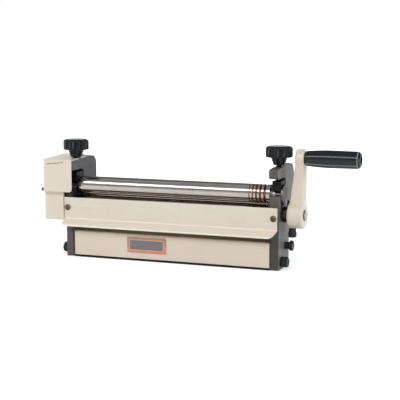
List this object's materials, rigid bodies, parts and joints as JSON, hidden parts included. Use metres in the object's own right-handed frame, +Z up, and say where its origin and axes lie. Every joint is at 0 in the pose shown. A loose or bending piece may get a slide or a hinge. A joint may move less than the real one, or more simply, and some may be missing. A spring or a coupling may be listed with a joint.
{
  "type": "slip roll",
  "caption": "Bench slip roll for sheet metal: geared front rolls, an adjustable rear roll, cast end housings, gear cover, apron and a hand crank with a barrel handle.",
  "frame": {"origin": "centre of the bounding box, on the plane the feet stand on", "axes": "+X along the rolls towards the crank, +Y from the working side to the rear roll, +Z up"},
  "size_m": [0.5612, 0.1416, 0.2053],
  "materials": {
    "badge_red": "matt",
    "base_paint": "matt black",
    "bearing_bronze": "machined",
    "black_oxide": "black oxide",
    "black_plastic": "satin",
    "crank_paint": "satin",
    "cream_paint": "satin",
    "dark_steel": "dark",
    "flange_steel": "machined",
    "gear_steel": "machined",
    "grey_casting": "matt grey paint",
    "ground_steel": "ground bright",
    "guard_paint": "satin",
    "panel_paint": "satin",
    "screw_zinc": "plated"
  },
  "bodies": {
    "frame": {"housing_left": "grey_casting", "housing_right": "grey_casting", "slot_cap_left": "dark_steel", "slot_cap_right": "dark_steel", "slot_cap_screw_left_low": "screw_zinc", "slot_cap_screw_left_high": "screw_zinc", "slot_cap_screw_right_low": "screw_zinc", "slot_cap_screw_right_high": "screw_zinc", "bush_bottom_left": "bearing_bronze", "bush_bottom_right": "bearing_bronze", "apron": "cream_paint", "apron_screw_left": "screw_zinc", "apron_screw_right": "screw_zinc", "lower_panel": "panel_paint", "base_plate": "base_paint", "badge_plate": "badge_red", "tie_rod_front": "dark_steel", "tie_rod_rear": "dark_steel", "tie_bolt_front_left": "black_oxide", "tie_bolt_front_right": "black_oxide", "tie_bolt_rear_left": "black_oxide", "tie_bolt_rear_right": "black_oxide", "cover_upper": "cream_paint", "cover_lower": "guard_paint", "cover_bracket": "dark_steel", "cover_screw_front": "black_oxide", "cover_screw_rear": "black_oxide"},
    "bottom_roll": {"roll_bottom": "ground_steel", "gear_bottom": "gear_steel", "gear_washer_bottom": "screw_zinc", "gear_nut_bottom": "screw_zinc", "shaft_collar": "black_oxide", "crank_arm": "crank_paint", "crank_lock_screw": "dark_steel", "handle_spindle": "dark_steel", "handle_ferrule": "bearing_bronze"},
    "handle": {"handle_grip": "black_plastic"},
    "top_block_left": {"bearing_block_top_left": "black_oxide", "bearing_flange_left": "flange_steel"},
    "top_block_right": {"bearing_block_top_right": "black_oxide", "bearing_flange_right": "flange_steel"},
    "top_roll": {"roll_top": "ground_steel", "gear_top": "gear_steel", "gear_washer_top": "screw_zinc", "gear_nut_top": "screw_zinc"},
    "top_knob_left": {"knob_top_left": "black_plastic", "stud_top_left": "dark_steel"},
    "top_knob_right": {"knob_top_right": "black_plastic", "stud_top_right": "dark_steel"},
    "rear_block_left": {"bearing_block_rear_left": "black_oxide"},
    "rear_block_right": {"bearing_block_rear_right": "black_oxide"},
    "rear_roll": {"roll_rear": "ground_steel"},
    "rear_knob_left": {"knob_rear_left": "black_plastic", "stud_rear_left": "dark_steel"},
    "rear_knob_right": {"knob_rear_right": "black_plastic", "stud_rear_right": "dark_steel"}
  },
  "joints": [
    {"name": "crank_turn", "type": "hinge", "parent": "frame", "child": "bottom_roll", "pos_m": [0.151, -0.02819, 0.0915], "axis": [1, 0, 0], "continuous": true},
    {"name": "handle_spin", "type": "hinge", "parent": "bottom_roll", "child": "handle", "pos_m": [0.1879, -0.02819, 0.186], "axis": [1, 0, 0], "continuous": true},
    {"name": "top_lift_left", "type": "slide", "parent": "frame", "child": "top_block_left", "axis": [0, 0, 1], "range_m": [-0.0005, 0.003]},
    {"name": "top_lift_right", "type": "slide", "parent": "frame", "child": "top_block_right", "axis": [0, 0, 1], "range_m": [-0.0005, 0.003]},
    {"name": "top_roll_turn", "type": "hinge", "parent": "top_block_left", "child": "top_roll", "pos_m": [-0.22895, -0.02819, 0.1245], "axis": [1, 0, 0], "continuous": true},
    {"name": "top_knob_left_turn", "type": "hinge", "parent": "top_block_left", "child": "top_knob_left", "pos_m": [-0.22895, -0.02819, 0.17362], "axis": [0, 0, 1], "range_deg": [-120, 720]},
    {"name": "top_knob_right_turn", "type": "hinge", "parent": "top_block_right", "child": "top_knob_right", "pos_m": [0.14335, -0.02819, 0.17362], "axis": [0, 0, 1], "range_deg": [-120, 720]},
    {"name": "rear_lift_left", "type": "slide", "parent": "frame", "child": "rear_block_left", "axis": [0, -0.9063, 0.4226], "range_m": [0, 0.012]},
    {"name": "rear_lift_right", "type": "slide", "parent": "frame", "child": "rear_block_right", "axis": [0, -0.9063, 0.4226], "range_m": [0, 0.012]},
    {"name": "rear_roll_turn", "type": "hinge", "parent": "rear_block_left", "child": "rear_roll", "pos_m": [-0.22895, 0.01881, 0.091], "axis": [1, 0, 0], "continuous": true},
    {"name": "rear_knob_left_turn", "type": "hinge", "parent": "rear_block_left", "child": "rear_knob_left", "pos_m": [-0.22895, 0.01881, 0.091], "axis": [0, -0.9063, 0.4226], "range_deg": [0, 3456]},
    {"name": "rear_knob_right_turn", "type": "hinge", "parent": "rear_block_right", "child": "rear_knob_right", "pos_m": [0.14335, 0.01881, 0.091], "axis": [0, -0.9063, 0.4226], "range_deg": [0, 3456]}
  ],
  "couplings": [
    {"joint": "top_roll_turn", "follows": "crank_turn", "ratio": -1},
    {"joint": "top_lift_right", "follows": "top_lift_left", "ratio": 1},
    {"joint": "top_knob_left_turn", "follows": "top_lift_left", "rad_per_m": 4188.8},
    {"joint": "top_knob_right_turn", "follows": "top_lift_left", "rad_per_m": 4188.8},
    {"joint": "rear_lift_right", "follows": "rear_lift_left", "ratio": 1},
    {"joint": "rear_knob_left_turn", "follows": "rear_lift_left", "rad_per_m": 5026.5},
    {"joint": "rear_knob_right_turn", "follows": "rear_lift_left", "rad_per_m": 5026.5}
  ]
}
